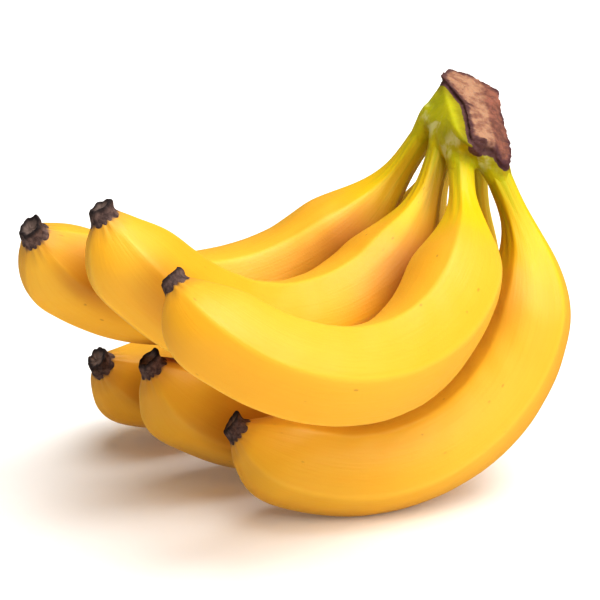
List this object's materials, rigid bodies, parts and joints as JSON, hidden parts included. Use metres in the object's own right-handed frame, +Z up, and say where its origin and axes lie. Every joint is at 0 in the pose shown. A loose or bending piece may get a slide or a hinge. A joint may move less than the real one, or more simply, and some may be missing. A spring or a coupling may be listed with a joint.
{
  "type": "bunch of bananas",
  "caption": "Bunch of ripe yellow bananas in two rows on a cut crown, lying on the bellies of its lower row.",
  "frame": {"origin": "centre of the bunch's bounding box in plan, on the surface that the lower row of fingers rests on", "axes": "+X towards the crown's side, the blossom tips point to -X, +Z up from the surface, +Y towards the back finger"},
  "size_m": [0.207, 0.1872, 0.1493],
  "materials": {
    "ripe_skin": "smooth waxy satin peel, yellow turning green at the pedicel",
    "dried_blossom": "dry, dark and wrinkled",
    "crown_flesh": "dried cut face, tan to purple-brown, on a green neck"
  },
  "bodies": {
    "root": {"crown": "crown_flesh", "finger_upper_back": "ripe_skin", "finger_upper_middle": "ripe_skin", "finger_upper_front": "ripe_skin", "finger_lower_front": "ripe_skin", "finger_lower_middle": "ripe_skin", "finger_lower_back": "ripe_skin", "blossom_tip_upper_back": "dried_blossom", "blossom_tip_upper_middle": "dried_blossom", "blossom_tip_upper_front": "dried_blossom", "blossom_tip_lower_front": "dried_blossom", "blossom_tip_lower_middle": "dried_blossom", "blossom_tip_lower_back": "dried_blossom"}
  },
  "joints": []
}
